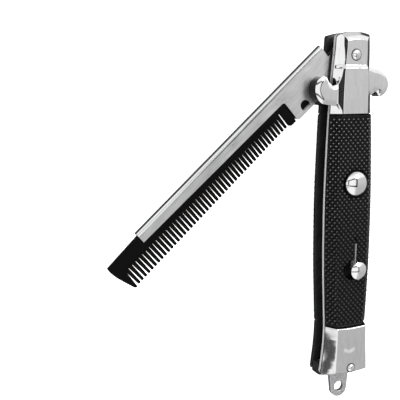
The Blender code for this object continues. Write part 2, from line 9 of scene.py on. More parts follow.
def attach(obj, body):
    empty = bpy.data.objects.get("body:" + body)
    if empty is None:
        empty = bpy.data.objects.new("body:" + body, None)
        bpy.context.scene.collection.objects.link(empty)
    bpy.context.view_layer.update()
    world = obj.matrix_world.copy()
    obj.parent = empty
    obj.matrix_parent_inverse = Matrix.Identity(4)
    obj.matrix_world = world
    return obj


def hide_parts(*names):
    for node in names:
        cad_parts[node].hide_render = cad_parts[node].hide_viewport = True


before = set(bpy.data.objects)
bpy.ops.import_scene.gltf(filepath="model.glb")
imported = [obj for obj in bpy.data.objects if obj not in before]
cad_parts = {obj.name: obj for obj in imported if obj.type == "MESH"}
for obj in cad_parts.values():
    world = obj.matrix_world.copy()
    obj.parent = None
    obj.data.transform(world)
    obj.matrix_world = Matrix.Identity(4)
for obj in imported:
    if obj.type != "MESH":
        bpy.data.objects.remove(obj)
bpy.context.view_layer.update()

# Looks of the folding comb. Shapes are worked out in millimetres from the comb's pivot on the
# handle's middle plane: x across towards the closed side, y along towards the pivot end, z up.
pivotPlace = np.array([0.0, 0.012, 0.0073])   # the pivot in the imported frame, metres
combSwing = math.radians(-48.8)               # the comb's angle from closed, in the photograph
print("comb: packed frame loaded")


# Helpers for shapes

def toRow(points):
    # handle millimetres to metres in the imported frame
    return np.asarray(points, float) * 0.001 + pivotPlace


def toRowFromClosed(points):
    # closed-comb millimetres turned by the comb's swing about the pivot, then to metres
    p = np.asarray(points, float)
    c, s = math.cos(combSwing), math.sin(combSwing)
    turned = np.stack([p[:, 0] * c - p[:, 1] * s, p[:, 0] * s + p[:, 1] * c, p[:, 2]], 1)
    return toRow(turned)


def gridQuads(rows, columns, wrap=False, start=0):
    # quads over a grid of rows x columns, joined round the columns when wrap is set
    i, j = np.meshgrid(np.arange(rows - 1), np.arange(columns if wrap else columns - 1), indexing="ij")
    k = (j + 1) % columns
    quads = np.stack([i * columns + j, (i + 1) * columns + j, (i + 1) * columns + k, i * columns + k], -1)
    return (quads.reshape(-1, 4) + start).tolist()


def makePiece(name, points, faces, looks, body, replaced=(), smoothAngle=35, lookOf=None,
              merge=0.0, tones=None):
    # points in metres; lookOf picks each face's material, tones is a value for each point
    mesh = bpy.data.meshes.new(name)
    mesh.from_pydata(np.asarray(points).tolist(), [], faces)
    if lookOf is not None:
        mesh.polygons.foreach_set("material_index", np.asarray(lookOf, np.int32))
    if tones is not None:
        tone = mesh.attributes.new("tone", "FLOAT", "POINT")
        tone.data.foreach_set("value", np.asarray(tones, np.float32))
    return finishMesh(name, mesh, looks, body, replaced, smoothAngle, merge)


def finishMesh(name, mesh, looks, body, replaced=(), smoothAngle=35, merge=0.0):
    # normals are recalculated on the closed shells, and edges over smoothAngle degrees stay sharp
    work = bmesh.new()
    work.from_mesh(mesh)
    if merge > 0:
        bmesh.ops.remove_doubles(work, verts=work.verts, dist=merge)
    bmesh.ops.recalc_face_normals(work, faces=work.faces)
    work.to_mesh(mesh)
    work.free()
    for look in looks:
        mesh.materials.append(look)
    mesh.shade_smooth()
    mesh.set_sharp_from_angle(angle=math.radians(smoothAngle))
    piece = bpy.data.objects.new(name, mesh)
    bpy.context.scene.collection.objects.link(piece)
    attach(piece, body)
    if replaced:
        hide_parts(*replaced)
    return piece


def smoothLoop(corners, perSide=8):
    # closed Catmull-Rom curve through the corners: each span is the usual cubic of four neighbours
    p = np.asarray(corners, float)
    before, after, later = np.roll(p, 1, 0), np.roll(p, -1, 0), np.roll(p, -2, 0)
    t = (np.arange(perSide) / perSide)[None, :, None]
    a, b, c, d = before[:, None], p[:, None], after[:, None], later[:, None]
    curve = 0.5 * (2 * b + (c - a) * t + (2 * a - 5 * b + 4 * c - d) * t**2 + (3 * b - a - 3 * c + d) * t**3)
    return curve.reshape(-1, 2)


def outlineMesh(name, outlines, low, high, edge=0.0, steps=3, closedComb=False):
    # flat outlines in millimetres, later ones being holes, given a thickness and rounded edges
    curve = bpy.data.curves.new(name, "CURVE")
    curve.dimensions = "2D"
    curve.fill_mode = "BOTH"
    curve.extrude = (high - low) / 2 - edge
    curve.bevel_depth = edge
    curve.bevel_resolution = steps
    curve.offset = -edge
    for outline in outlines:
        spline = curve.splines.new("POLY")
        spline.points.add(len(outline) - 1)
        flat = np.concatenate([np.asarray(outline), np.zeros((len(outline), 1)),
                               np.ones((len(outline), 1))], 1)
        spline.points.foreach_set("co", flat.ravel())
        spline.use_cyclic_u = True
    guide = bpy.data.objects.new(name, curve)
    bpy.context.scene.collection.objects.link(guide)
    graph = bpy.context.evaluated_depsgraph_get()
    mesh = bpy.data.meshes.new_from_object(guide.evaluated_get(graph))
    bpy.data.objects.remove(guide, do_unlink=True)
    co = np.empty(len(mesh.vertices) * 3)
    mesh.vertices.foreach_get("co", co)
    co = co.reshape(-1, 3) + (0, 0, (low + high) / 2)
    co = toRowFromClosed(co) if closedComb else toRow(co)
    mesh.vertices.foreach_set("co", co.ravel())
    mesh.update()
    return mesh


def platePiece(name, outlines, low, high, looks, body, replaced=(), edge=0.0, steps=3,
               closedComb=False):
    # a thickened outline made straight into a finished piece
    mesh = outlineMesh(name, outlines, low, high, edge, steps, closedComb)
    return finishMesh(name, mesh, looks, body, replaced, 30, 1e-6)


def arc(cx, cy, radius, start, stop, count):
    a = np.radians(np.linspace(start, stop, count))
    return np.stack([cx + radius * np.cos(a), cy + radius * np.sin(a)], 1)


def turnedPoints(profile, sides, cx, cy):
    # surface of revolution: each (radius, height) of the profile carried round the axis
    p = np.asarray(profile, float)
    a = np.linspace(0, 2 * np.pi, sides, endpoint=False)
    x = cx + p[:, :1] * np.cos(a)
    y = cy + p[:, :1] * np.sin(a)
    z = np.repeat(p[:, 1:], sides, 1)
    return np.stack([x, y, z], -1).reshape(-1, 3)


def turnedPiece(name, profile, cx, cy, looks, body, slot, replaced=(), sides=96):
    points = turnedPoints(profile, sides, cx, cy)
    faces = gridQuads(len(profile), sides, wrap=True)
    return makePiece(name, toRow(points), faces, looks, body, replaced, 40, merge=2e-6)


# Outline of the handle, shared by its plates and covers

tailPinPlace = (1.0, -111.2)
buttonPlace = (1.05, -43.85)

handleShape = {
    "stations": np.array([-115.0, -109.0, -104.0, -97.0, -88.0, -75.0, -62.0, -50.0, -35.0, -20.0,
                          -10.0, 0.0, 8.0]),
    "halfWidths": np.array([9.9, 9.1, 8.5, 8.1, 8.4, 8.9, 9.1, 9.1, 8.7, 8.1, 7.5, 6.9, 6.5]),
    "topCorner": 6.6, "topBulge": 1.3, "tailCorner": -113.7, "tailBulge": -1.0, "cornerRadius": 1.0,
    "sideLean": 0.15, "topLean": 0.4, "linerShort": 0.6,
}


def halfWidth(y):
    # cubic between stations with slopes taken from their neighbours
    xs, ws = handleShape["stations"], handleShape["halfWidths"]
    slopes = np.gradient(ws, xs)
    y = np.asarray(y, float)
    i = np.clip(np.searchsorted(xs, y) - 1, 0, len(xs) - 2)
    step = xs[i + 1] - xs[i]
    t = (y - xs[i]) / step
    return ((2 * t**3 - 3 * t**2 + 1) * ws[i] + (t**3 - 2 * t**2 + t) * step * slopes[i]
            + (3 * t**2 - 2 * t**3) * ws[i + 1] + (t**3 - t**2) * step * slopes[i + 1])


def lean(y):
    # the pivot end leans towards the closed side, eased in between y = -8 and y = 4
    t = np.clip((np.asarray(y, float) + 8) / 12, 0, 1)
    return handleShape["sideLean"] + handleShape["topLean"] * t * t * (3 - 2 * t)


def endDrop(x, w, bulge):
    # how far an end falls away from its middle: a shallow arc and a rounded corner
    r = handleShape["cornerRadius"]
    over = np.clip(np.abs(x) - (w - r), 0, r)
    return bulge * (x / w) ** 2 + np.sign(bulge) * (r - np.sqrt(r**2 - over**2))


def endLine(corner, bulge, count=41):
    # one end of the handle from its left corner to its right one
    w = float(halfWidth(corner))
    x = w * np.sin(np.linspace(-np.pi / 2, np.pi / 2, count))
    return np.stack([x + lean(corner), corner + bulge - endDrop(x, w, bulge)], 1)


def handleOutline():
    s = handleShape
    top = endLine(s["topCorner"], s["topBulge"])[::-1]
    ys = np.linspace(s["topCorner"] - 1.0, s["tailCorner"] + 1.6, 120)[1:-1]
    left = np.stack([lean(ys) - halfWidth(ys), ys], 1)
    tail = endLine(s["tailCorner"] + s["linerShort"], s["tailBulge"])
    right = np.stack([lean(ys) + halfWidth(ys), ys], 1)[::-1]
    return np.concatenate([top, left, tail, right])


# Helpers for materials

def fromHex(code):
    # sRGB hex to the linear colour that shaders take
    value = [int(code[i:i + 2], 16) / 255 for i in (1, 3, 5)]
    return tuple([c / 12.92 if c <= 0.04045 else ((c + 0.055) / 1.055) ** 2.4 for c in value] + [1.0])


def addNode(tree, kind, settings=None, inputs=None, links=None):
    # adds one node, sets its options and sockets, and links its inputs to other nodes' outputs
    node = tree.nodes.new(kind)
    for key, value in (settings or {}).items():
        setattr(node, key, value)
    for key, value in (inputs or {}).items():
        node.inputs[key].default_value = value
    for key, source in (links or {}).items():
        tree.links.new(source, node.inputs[key])
    return node


def newMaterial(name):
    material = bpy.data.materials.new(name)
    material.use_nodes = True
    tree = material.node_tree
    shader = tree.nodes["Principled BSDF"]
    return material, tree, shader


def rampStops(ramp, stops):
    elements = ramp.color_ramp.elements
    while len(elements) < len(stops):
        elements.new(0.5)
    for element, (place, colour) in zip(elements, stops):
        element.position = place
        element.color = colour


def metalMaterial(name, settings):
    # a metal whose finish is grain: noise stretched to the grain's size drives roughness, tone and bump,
    # and a slow noise bends the surface a little, as a cast, rolled or wheel-polished face does
    settings = {"metallic": 1.0, "turn": 0.0} | settings
    material, tree, shader = newMaterial(name)
    shader.inputs["Metallic"].default_value = settings["metallic"]
    place = addNode(tree, "ShaderNodeTexCoord")
    mapping = addNode(tree, "ShaderNodeMapping", {"vector_type": "TEXTURE"}, {
        "Rotation": (0, 0, settings["turn"]), "Scale": settings["grain"]}, {"Vector": place.outputs["Object"]})
    grain = addNode(tree, "ShaderNodeTexNoise", {}, {
        "Scale": 1.0, "Detail": 4.0, "Roughness": 0.6}, {"Vector": mapping.outputs["Vector"]})
    cloud = addNode(tree, "ShaderNodeTexNoise", {}, {
        "Scale": settings["cloud"], "Detail": 3.0, "Roughness": 0.55}, {"Vector": place.outputs["Object"]})
    tone = addNode(tree, "ShaderNodeValToRGB", {}, {}, {"Fac": grain.outputs["Fac"]})
    rampStops(tone, [(0.25, fromHex(settings["dark"])), (0.75, fromHex(settings["light"]))])
    tree.links.new(tone.outputs["Color"], shader.inputs["Base Color"])
    mixed = addNode(tree, "ShaderNodeMath", {"operation": "MULTIPLY"}, {}, {
        0: grain.outputs["Fac"], 1: cloud.outputs["Fac"]})
    rough = addNode(tree, "ShaderNodeMapRange", {}, {
        "From Min": 0.1, "From Max": 0.45, "To Min": settings["smoothest"], "To Max": settings["roughest"]},
        {"Value": mixed.outputs["Value"]})
    # the tone attribute marks scuffed places, which are duller
    scuff = addNode(tree, "ShaderNodeAttribute", {"attribute_name": "tone"})
    dull = addNode(tree, "ShaderNodeMath", {"operation": "MULTIPLY_ADD"}, {1: 0.5}, {
        0: scuff.outputs["Fac"], 2: rough.outputs["Result"]})
    tree.links.new(dull.outputs["Value"], shader.inputs["Roughness"])
    waves = addNode(tree, "ShaderNodeTexNoise", {}, {
        "Scale": settings["waves"], "Detail": 1.0}, {"Vector": place.outputs["Object"]})
    bend = addNode(tree, "ShaderNodeBump", {}, {"Strength": 1.0, "Distance": settings["waveDepth"]}, {
        "Height": waves.outputs["Fac"]})
    bump = addNode(tree, "ShaderNodeBump", {}, {"Strength": settings["bump"], "Distance": 0.00005}, {
        "Height": grain.outputs["Fac"], "Normal": bend.outputs["Normal"]})
    tree.links.new(bump.outputs["Normal"], shader.inputs["Normal"])
    return material


def plasticMaterial(name, settings):
    # moulded plastic: tone by the tone attribute, which on the scales is painted shade and painted highlight,
    # faint clouds, and the mould's fine texture as bump
    material, tree, shader = newMaterial(name)
    shader.inputs["IOR"].default_value = settings["ior"]
    shader.inputs["Specular IOR Level"].default_value = settings["specular"]
    place = addNode(tree, "ShaderNodeTexCoord")
    cloud = addNode(tree, "ShaderNodeTexNoise", {}, {
        "Scale": settings["cloud"], "Detail": 3.0}, {"Vector": place.outputs["Object"]})
    paintedLightTone = addNode(tree, "ShaderNodeAttribute", {"attribute_name": "tone"})
    spread = addNode(tree, "ShaderNodeMath", {"operation": "MULTIPLY_ADD"}, {1: 0.08, 2: -0.04}, {
        0: cloud.outputs["Fac"]})
    shifted = addNode(tree, "ShaderNodeMath", {"operation": "ADD"}, {}, {
        0: paintedLightTone.outputs["Fac"], 1: spread.outputs["Value"]})
    tone = addNode(tree, "ShaderNodeValToRGB", {}, {}, {"Fac": shifted.outputs["Value"]})
    rampStops(tone, [(stop, fromHex(code)) for stop, code in settings["tones"]])
    tree.links.new(tone.outputs["Color"], shader.inputs["Base Color"])
    peel = addNode(tree, "ShaderNodeTexNoise", {}, {
        "Scale": settings["peel"], "Detail": 2.0}, {"Vector": place.outputs["Object"]})
    rough = addNode(tree, "ShaderNodeMapRange", {}, {
        "From Min": 0.3, "From Max": 0.7, "To Min": settings["smoothest"], "To Max": settings["roughest"]},
        {"Value": peel.outputs["Fac"]})
    tree.links.new(rough.outputs["Result"], shader.inputs["Roughness"])
    bump = addNode(tree, "ShaderNodeBump", {}, {"Strength": settings["bump"], "Distance": 0.00005}, {
        "Height": peel.outputs["Fac"]})
    tree.links.new(bump.outputs["Normal"], shader.inputs["Normal"])
    return material


# Nickel-chrome plate over cast zinc, polished on wheels: a mirror with faint wheel marks 1 mm apart,
# and slow waves about 5 mm long that bend its reflections
chromePlate = metalMaterial("chromePlatedZincPolished", {
    "grain": (0.001, 0.004, 0.001), "cloud": 120, "dark": "#E4E4E5",
    "light": "#F2F2F2", "smoothest": 0.05, "roughest": 0.11, "bump": 0.02, "waves": 180,
    "waveDepth": 0.00005})
# The same casting, nearly black on the left ears' walls and round the rivets:
# painted shade where the walls stand over the tang and where the heads meet the bolsters
paintedShadeMetal = metalMaterial("zincPaintedShadeNearBlack", {
    "grain": (0.0008, 0.0008, 0.0008), "cloud": 200, "dark": "#101011",
    "light": "#262627", "smoothest": 0.25, "roughest": 0.45, "bump": 0.1, "waves": 180, "waveDepth": 0.00002})
# Polished steel of the rivet heads and knobs
polishedSteel = metalMaterial("steelPolishedTurned", {
    "grain": (0.0014, 0.0014, 0.0014), "cloud": 200, "dark": "#E8E8EA",
    "light": "#F4F4F4", "smoothest": 0.03, "roughest": 0.07, "bump": 0.01, "waves": 300,
    "waveDepth": 0.00001})
# Cold-rolled sheet brushed along the comb: real grain is 0.1 mm wide, drawn 0.4 mm so that it shows
brushedSheet = metalMaterial("steelSheetBrushedAlongComb", {
    "turn": combSwing, "grain": (0.0004, 0.006, 0.001), "cloud": 160, "dark": "#CECECF",
    "light": "#E6E6E6", "smoothest": 0.26, "roughest": 0.38, "bump": 0.06, "waves": 60,
    "waveDepth": 0.00003})
# The same sheet where the folding die has burnished its back edge
burnishedFold = metalMaterial("steelSheetBurnishedFold", {
    "turn": combSwing, "grain": (0.0006, 0.008, 0.001), "cloud": 160, "dark": "#E4E4E5",
    "light": "#F2F2F2", "smoothest": 0.08, "roughest": 0.15, "bump": 0.03, "waves": 60,
    "waveDepth": 0.00002})
# Sheared and ground edge of the front liner: bright, with marks along it
linerEdge = metalMaterial("steelLinerGroundEdge", {
    "metallic": 0.4, "grain": (0.002, 0.008, 0.0004), "cloud": 200, "dark": "#C8C8C8",
    "light": "#E4E4E4", "smoothest": 0.35, "roughest": 0.5, "bump": 0.08, "waves": 200,
    "waveDepth": 0.00001})
# Chemically blackened steel inside the handle, with lighter slanting streaks about 0.5 mm wide
blackenedSteel = metalMaterial("steelChemicallyBlackened", {
    "metallic": 0.3, "turn": -0.7, "grain": (0.0005, 0.006, 0.001), "cloud": 150, "dark": "#121213",
    "light": "#363638", "smoothest": 0.32, "roughest": 0.5, "bump": 0.06, "waves": 100,
    "waveDepth": 0.00001})
# Tumbled steel of the bail: rough, with light and dark specks about 0.3 mm across
tumbledSteel = metalMaterial("steelTumbledBail", {
    "metallic": 0.9, "grain": (0.0005, 0.0005, 0.0005), "cloud": 700, "dark": "#8E8E92",
    "light": "#F4F4F4", "smoothest": 0.25, "roughest": 0.5, "bump": 0.5, "waves": 500,
    "waveDepth": 0.00004})
# Injection-moulded ABS of the checkered scales: half matt, with painted shade black in the grooves and a
# painted grey highlight on the points
scalePlastic = plasticMaterial("absMouldedCheckered", {
    "ior": 1.52, "specular": 0.22, "cloud": 300, "peel": 4000,
    # the ramp's dark end is painted shade in the grooves, its light end a painted highlight on the points
    "tones": [(0.0, "#020202"), (0.3, "#101010"), (0.6, "#343434"), (1.0, "#D8D8D8")],
    "smoothest": 0.34, "roughest": 0.48, "bump": 0.05})
# Moulded comb insert, smooth with a soft sheen
combPlastic = plasticMaterial("acetalMouldedComb", {
    "ior": 1.48, "specular": 0.09, "cloud": 220, "peel": 2600, "tones": [(0.0, "#050505"), (1.0, "#0E0E0E")],
    "smoothest": 0.34, "roughest": 0.46, "bump": 0.05})
print("comb: materials made")


# Liners, spacer and tail block

linerShape = {"inner": 2.3, "outer": 3.4, "pivotHole": 1.8, "tailHole": 1.2, "buttonHole": 2.6, "edge": 0.08}


def linerPiece(name, side, edgeLook):
    # a steel plate on the handle's outline with blackened faces; only the front one's edge is bare
    low, high = sorted((side * linerShape["inner"], side * linerShape["outer"]))
    holes = [arc(0, 0, linerShape["pivotHole"], 0, 350, 36)[::-1],
             arc(*tailPinPlace, linerShape["tailHole"], 0, 350, 36)[::-1]]
    if side > 0:
        holes.append(arc(*buttonPlace, linerShape["buttonHole"], 0, 350, 36)[::-1])
    piece = platePiece(name, [handleOutline()] + holes, low, high, [blackenedSteel, edgeLook], "handle",
                       [name.replace("Plate", "_liner")], linerShape["edge"], 1)
    normals = np.empty(len(piece.data.polygons) * 3)
    piece.data.polygons.foreach_get("normal", normals)
    onEdge = np.abs(normals.reshape(-1, 3)[:, 2]) < 0.9
    piece.data.polygons.foreach_set("material_index", onEdge.astype(np.int32))
    return piece


linerPiece("frontPlate", 1, linerEdge)
linerPiece("backPlate", -1, blackenedSteel)

spacerShape = {"top": -11.5, "end": -108.0, "inner": 6.2, "inset": 0.4, "half": 2.0, "edge": 0.15}
ys = np.linspace(spacerShape["top"], spacerShape["end"], 80)
outer = np.stack([halfWidth(ys) + handleShape["sideLean"] - spacerShape["inset"], ys], 1)
inner = np.array([[spacerShape["inner"], spacerShape["end"]], [spacerShape["inner"], spacerShape["top"]]])
platePiece("spacerWall", [np.concatenate([outer, inner])], -spacerShape["half"], spacerShape["half"],
           [blackenedSteel], "handle", ["back_spacer"], spacerShape["edge"], 2)

bailShape = {"x": 0.3, "y": -121.4, "radius": 3.4, "hole": 1.85, "holeY": -120.8, "half": 0.8, "neck": 4.1,
             "blockHalf": 2.0, "blockEdge": 0.12, "left": -110.1, "right": -108.9, "proud": 0.7, "edge": 0.22}
blockEnd = endLine(handleShape["tailCorner"] - bailShape["proud"],
                   handleShape["tailBulge"] + bailShape["proud"])
sideLean = handleShape["sideLean"]
block = np.concatenate([[[float(halfWidth(bailShape["right"])) + sideLean, bailShape["right"]],
                         [sideLean - float(halfWidth(bailShape["left"])), bailShape["left"]]], blockEnd])
platePiece("tailBlock", [block], -bailShape["blockHalf"], bailShape["blockHalf"], [blackenedSteel], "handle",
           ["tail_bail"], bailShape["blockEdge"], 2)
eye = np.concatenate([
    [[bailShape["x"] + bailShape["neck"], -113.0], [bailShape["x"] - bailShape["neck"], -113.0],
     [bailShape["x"] - bailShape["neck"], -114.7]],
    arc(bailShape["x"], bailShape["y"], bailShape["radius"], 180, 360, 40),
    [[bailShape["x"] + bailShape["neck"], -114.7]]])
hole = arc(bailShape["x"], bailShape["holeY"], bailShape["hole"], 0, 354, 60)[::-1]
platePiece("bailEye", [eye, hole], -bailShape["half"], bailShape["half"], [tumbledSteel], "handle",
           ["tail_bail"], bailShape["edge"], 4)
print("comb: liners, spacer and bail made")


# Covers: bolsters and checkered scales

coverBase, sideTop, flatHeight, upperFlat = 3.7, 4.0, 7.3, 6.9
coverLeast = coverBase + 0.02   # no cover's skin comes down to its base


def smoothMin(a, b, k):
    # the lower of two heights, with their meeting rounded over k millimetres
    h = np.clip(0.5 + 0.5 * (b - a) / k, 0, 1)
    return b * (1 - h) + a * h - k * h * (1 - h)


def coverPiece(name, x, y, z, side, look, replaced, smoothAngle=35, tones=None):
    # closed shell: the height grid on top, a wall round its border and a flat base
    rows, columns = z.shape
    top = np.stack([x, y, side * z], -1).reshape(-1, 3)
    index = np.arange(rows * columns).reshape(rows, columns)
    rim = np.concatenate([index[0, :-1], index[:-1, -1], index[-1, :0:-1], index[:0:-1, 0]])
    base = top[rim].copy()
    base[:, 2] = side * coverBase
    low = np.arange(len(rim)) + rows * columns
    faces = gridQuads(rows, columns)
    faces += np.stack([rim, np.roll(rim, -1), np.roll(low, -1), low], 1).tolist()
    faces.append(low.tolist())
    if tones is not None:
        tones = np.concatenate([tones.ravel(), np.zeros(len(rim))])
    return makePiece(name, toRow(np.concatenate([top, base])), faces, [look], "handle", [replaced],
                     smoothAngle, tones=tones)


def acrossSpread(count):
    # columns from -1 to 1, closer together towards the two sides
    s, crowding = np.linspace(-1, 1, count), 0.45
    return (1 - crowding) * s + crowding * np.sin(s * np.pi / 2)


def facetedHeight(off, flatZ, flatHalf, facet, slope, halfWide, edgeZ, rounding):
    # lower of the flat, a facet falling from the flat's edge, and a steep bevel to the side
    leastRun, bevelRounding = 0.35, 0.16
    run = facet * math.cos(math.atan(slope))
    dropZ = flatZ - facet * math.sin(math.atan(slope))
    facetZ = flatZ - slope * (off - flatHalf)
    steep = (dropZ - edgeZ) / np.maximum(halfWide - flatHalf - run, leastRun)
    bevelZ = dropZ - steep * (off - flatHalf - run)
    z = smoothMin(np.ones_like(off) * flatZ, facetZ, rounding)
    return smoothMin(z, bevelZ, bevelRounding)


bolsterShape = {
    "rows": 240, "columns": 160, "rounding": 0.06, "end": -19.7, "stepHigh": -3.4, "stepLow": -4.5,
    # stations down the top bolster: half widths of the flat and of the facet beside it
    "y": np.array([-19.7, -18.6, -17.4, -16.2, -12.0, -9.8, -8.6, -7.2, -6.0, -4.6, -3.4, -1.6, 0.6, 3.2,
                   8.0]),
    "flat": np.array([4.75, 4.75, 4.78, 4.78, 4.65, 4.6, 4.56, 4.5, 4.46, 4.38, 4.1, 4.05, 3.95, 3.85, 3.8]),
    "facet": np.array([0.7, 0.9, 1.5, 2.2, 2.3, 2.3, 1.8, 1.35, 1.2, 1.05, 0.95, 0.85, 1.15, 1.6, 1.6]),
    "facetSlope": 0.74, "endWall": 14.0, "endRise": 1.16, "bandSlope": 0.85, "shoulder": 2.8,
    "shoulderSlope": 0.41, "wallFoot": 0.1, "bandLift": 0.25, "endRounding": 0.1, "rowCrowding": 1.25,
}


def topBolster(side, name, node):
    s, h = bolsterShape, handleShape
    across = acrossSpread(s["columns"])[None, :]
    along = np.linspace(0, 1, s["rows"])[:, None] ** s["rowCrowding"]
    w = float(halfWidth(h["topCorner"]))
    yEnd = h["topCorner"] + h["topBulge"] - endDrop(across * w, w, h["topBulge"])
    y = yEnd * (1 - along) + s["end"] * along
    x = lean(y) + across * halfWidth(y)
    flatHalf = np.interp(y, s["y"], s["flat"])
    facet = np.interp(y, s["y"], s["facet"])
    stepRun = s["stepHigh"] - s["stepLow"]
    flatZ = upperFlat + (flatHeight - upperFlat) * np.clip((s["stepHigh"] - y) / stepRun, 0, 1)
    z = facetedHeight(np.abs(x - lean(y)), flatZ, flatHalf, facet, s["facetSlope"], halfWidth(y), sideTop,
                      s["rounding"])
    # the pivot end: a low wall, a leaning band and a shallow shoulder up to the flat
    toEnd = yEnd - y
    wall = coverBase + s["wallFoot"] + toEnd * s["endWall"]
    band = coverBase + s["endRise"] + s["bandLift"] + toEnd * s["bandSlope"]
    shoulder = upperFlat - s["shoulderSlope"] * (s["shoulder"] - toEnd)
    for slope in (shoulder, band, wall):
        z = smoothMin(z, slope, s["endRounding"])
    z = np.maximum(z, coverLeast)
    coverPiece(name, x, y, z, side, chromePlate, node, 24)


earShape = {
    "face": 5.95, "drop": 0.5, "round": 2.0, "low": 1.5, "rings": 22, "wallRings": 3,
    "ringCrowding": 0.8, "coverHalf": 5.6,
    "left": [(-5.0, -10.0), (-7.8, -10.3), (-9.2, -9.6), (-10.3, -8.0), (-11.6, -7.0), (-13.5, -8.1),
             (-14.5, -9.8), (-14.75, -11.8), (-14.3, -13.6), (-13.3, -15.2), (-12.2, -16.1),
             (-10.6, -16.5), (-8.2, -16.8), (-5.0, -16.6)],
    "right": [(5.0, -4.6), (8.5, -4.6), (11.0, -5.3), (13.0, -6.8), (14.2, -9.0), (14.2, -11.1),
              (13.1, -12.9), (11.3, -14.0), (10.3, -13.6), (9.6, -12.6), (8.5, -12.4), (7.6, -13.3),
              (5.0, -13.8)],
    "centre": {"left": (-11.0, -12.5), "right": (11.5, -9.2)},
}


def edgeDistance(points, loop):
    # shortest distance from each point to the loop's spans, leaving out those under the cover
    a, b = loop, np.roll(loop, -1, 0)
    shown = (np.abs(a[:, 0]) > earShape["coverHalf"]) | (np.abs(b[:, 0]) > earShape["coverHalf"])
    a, b = a[shown], b[shown]
    along = b - a
    t = np.einsum("pnk,nk->pn", points[:, None] - a[None], along) / (along**2).sum(1)
    nearest = a[None] + np.clip(t, 0, 1)[..., None] * along[None]
    return np.sqrt(((points[:, None] - nearest) ** 2).sum(-1)).min(1)


def guardEar(side, which, name, node):
    # rings from the centre out to the loop; the face falls as the square of the nearness to the edge,
    # and below the rim a wall goes down to a flat underside
    s = earShape
    loop = smoothLoop(s[which], 8)
    centre = np.array(s["centre"][which])
    t = np.linspace(0, 1, s["rings"])[:, None, None] ** s["ringCrowding"]
    flat = (centre + t * (loop - centre)[None]).reshape(-1, 2)
    near = np.clip(1 - edgeDistance(flat, loop) / s["round"], 0, 1)
    z = s["face"] - s["drop"] * near**2
    top = np.column_stack([flat, side * z])
    rim = np.column_stack([loop, np.full(len(loop), s["face"] - s["drop"])])
    walls = [np.column_stack([loop, side * (rim[:, 2] + (s["low"] - rim[:, 2]) * f)])
             for f in np.linspace(0, 1, s["wallRings"] + 1)[1:]]
    count = len(loop)
    points = np.concatenate([top] + walls)
    rows = s["rings"] + s["wallRings"]
    faces = gridQuads(rows, count, wrap=True) + [list(range((rows - 1) * count, rows * count))]
    lookOf = np.zeros(len(faces), np.int32)
    # the left ears' walls and undersides take the near-black metal: painted shade over the tang
    if which == "left":
        lookOf[(s["rings"] - 1) * count:] = 1
    makePiece(name, toRow(points), faces, [chromePlate, paintedShadeMetal], "handle", [node],
              38, lookOf, merge=2e-6)


for side, label in ((1, "front"), (-1, "back")):
    topBolster(side, label + "PivotBolster", label + "_top_bolster")
    guardEar(side, "left", label + "GuardEarLeft", label + "_top_bolster")
    guardEar(side, "right", label + "GuardEarRight", label + "_top_bolster")


tailShape = {"rows": 170, "columns": 140, "bow": -0.5, "top": -95.6, "rounding": 0.3,
             "y": np.array([-114.0, -111.0, -108.0, -104.0, -100.0, -96.0]),
             "flat": np.array([5.7, 5.7, 5.6, 5.4, 5.25, 5.2]), "facet": 0.15,
             # the flat reaches further towards the closed side
             "facetSlope": 0.5, "rightWide": 1.5,
             "endSlope": 1.9, "shoulder": 2.2, "shoulderSlope": 0.35, "brokenEdge": 0.35, "brokenDrop": 0.25,
             "wallFoot": 0.1, "shoulderRounding": 0.3, "endRounding": 0.2,
             "scuff": {"x": 0.25, "y": -104.9, "halfWide": 2.6, "tilt": 0.36, "thick": 1.2,
                       "core": 1.2, "fade": 0.6}}


def tailBolster(side, name, node):
    s, h = tailShape, handleShape
    across = acrossSpread(s["columns"])[None, :]
    along = np.linspace(0, 1, s["rows"])[:, None]
    w = float(halfWidth(h["tailCorner"]))
    yTop = s["top"] + s["bow"] * (1 - across**2)
    yEnd = h["tailCorner"] + h["tailBulge"] - endDrop(across * w, w, h["tailBulge"])
    y = yTop * (1 - along) + yEnd * along
    x = lean(y) + across * halfWidth(y)
    flatHalf = np.interp(y, s["y"], s["flat"]) + s["rightWide"] * (across > 0)
    z = facetedHeight(np.abs(x - lean(y)), flatHeight, flatHalf, s["facet"], s["facetSlope"], halfWidth(y),
                      sideTop, s["rounding"])
    toEnd = y - yEnd
    steep = coverBase + s["wallFoot"] + toEnd * s["endSlope"]
    shoulder = flatHeight - s["shoulderSlope"] * (s["shoulder"] - toEnd)
    z = smoothMin(smoothMin(z, shoulder, s["shoulderRounding"]), steep, s["endRounding"])
    # the joint's edge is broken, which catches the light above the flat
    z = z - s["brokenDrop"] * np.clip(1 - (yTop - y) / s["brokenEdge"], 0, 1) ** 2
    z = np.maximum(z, coverLeast)
    # a soft V of scuffed plating: nearness to two strokes that meet at its foot
    c = s["scuff"]
    off = np.abs(x - c["x"])
    stroke = np.abs(y - c["y"] - c["tilt"] * off) / c["thick"]
    scuff = np.clip(c["core"] - stroke, 0, 1) * np.clip((c["halfWide"] - off) / c["fade"], 0, 1)
    coverPiece(name, x, y, z, side, chromePlate, node, 24, scuff if side > 0 else None)


tailBolster(1, "frontTailBolster", "front_tail_bolster")
tailBolster(-1, "backTailBolster", "back_tail_bolster")
print("comb: bolsters made")


